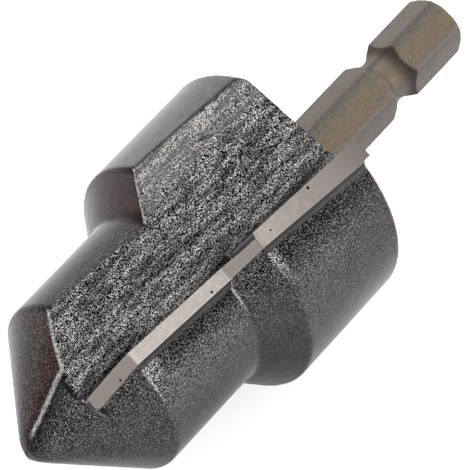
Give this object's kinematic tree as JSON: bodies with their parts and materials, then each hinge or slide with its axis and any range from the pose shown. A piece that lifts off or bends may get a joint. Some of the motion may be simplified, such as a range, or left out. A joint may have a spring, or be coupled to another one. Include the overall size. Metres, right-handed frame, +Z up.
{
  "type": "pipe reamer bit",
  "caption": "Stepped reamer head with a cone nose, two open flutes and ground cutting lands, on a hexagonal quick-change shank with a retaining groove.",
  "frame": {"origin": "centre of the flat end of the hexagonal shank, on the tool axis", "axes": "+X along the tool axis from the nose to the shank's end; +Z up as the bit lies at rest on the edges of one flute; +Y completes the right-handed frame"},
  "size_m": [0.0677, 0.0286, 0.027],
  "materials": {
    "head_casting": "blasted steel casting, dark oxide, with ground lands",
    "shank_steel": "satin drawn hexagonal steel"
  },
  "bodies": {
    "root": {"cutter_head": "head_casting", "hex_shank": "shank_steel"}
  },
  "joints": []
}
